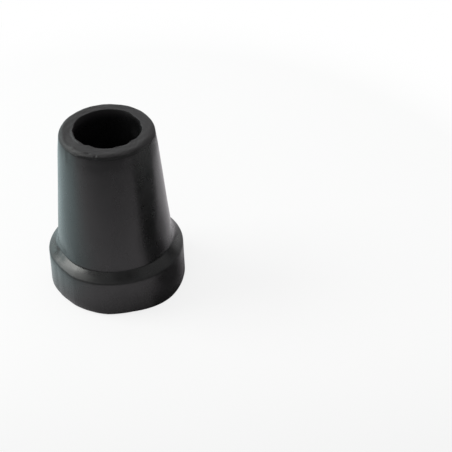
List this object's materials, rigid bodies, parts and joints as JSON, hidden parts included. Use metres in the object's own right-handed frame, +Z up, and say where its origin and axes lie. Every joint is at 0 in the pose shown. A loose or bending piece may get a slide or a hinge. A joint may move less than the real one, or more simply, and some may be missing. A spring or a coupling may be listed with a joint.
{
  "type": "rubber cane tip",
  "caption": "Push-on rubber foot for a round walking stick: a tapered sleeve with a blind round socket on a wide collar, with a set-back, grooved sole.",
  "frame": {"origin": "centre of the standing plane, on the axis of the shaft socket", "axes": "+Z up along the shaft socket, out of its mouth; the part is round, so X and Y are any two directions square to it"},
  "size_m": [0.0394, 0.0394, 0.0518],
  "materials": {
    "rubber": "black moulded rubber, semi-gloss, with a faint matt bloom"
  },
  "bodies": {
    "root": {"cane_tip": "rubber"}
  },
  "joints": []
}
